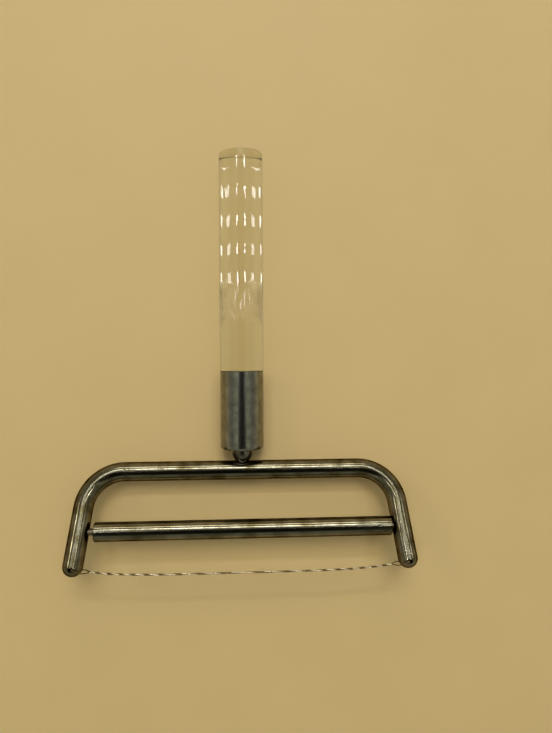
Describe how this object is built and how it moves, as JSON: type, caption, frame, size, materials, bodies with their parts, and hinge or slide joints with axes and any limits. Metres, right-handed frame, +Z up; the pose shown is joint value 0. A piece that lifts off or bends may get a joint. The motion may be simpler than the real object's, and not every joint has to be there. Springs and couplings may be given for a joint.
{
  "type": "wire cheese slicer",
  "caption": "Hand cheese slicer: clear round handle, steel ferrule, bent rod frame with a spinning roller and a twisted cutting wire.",
  "frame": {"origin": "on the table, below the middle of the slicer's box as it lies on its handle", "axes": "+Y along the handle, away from the frame; +Z up from the table, the side to which the frame tilts; +X along the bar and the roller"},
  "size_m": [0.1458, 0.1768, 0.0287],
  "materials": {
    "clear_acrylic": "clear cast acrylic, polished",
    "satin_steel": "satin, fine grain",
    "dark_nickel": "dull nickel plate",
    "plated_rod": "worn nickel-chrome plate",
    "plated_tube": "worn nickel-chrome plate",
    "wire_steel": "drawn spring wire",
    "turned_steel": "turned"
  },
  "bodies": {
    "handle_frame": {"handle_rod": "clear_acrylic", "ferrule": "satin_steel", "neck_stud": "dark_nickel", "frame": "plated_rod", "cutting_wire": "wire_steel"},
    "axle": {"roller_axle": "turned_steel"},
    "roller": {"roller_tube": "plated_tube", "roller_bush_left": "turned_steel", "roller_bush_right": "turned_steel"}
  },
  "joints": [
    {"name": "roller_spin", "type": "hinge", "parent": "handle_frame", "child": "axle", "pos_m": [0, -0.0718, 0.01886], "axis": [1, 0, 0], "continuous": true},
    {"name": "roller_float", "type": "slide", "parent": "axle", "child": "roller", "axis": [-1, 0, 0], "range_m": [0, 0.0017]}
  ]
}
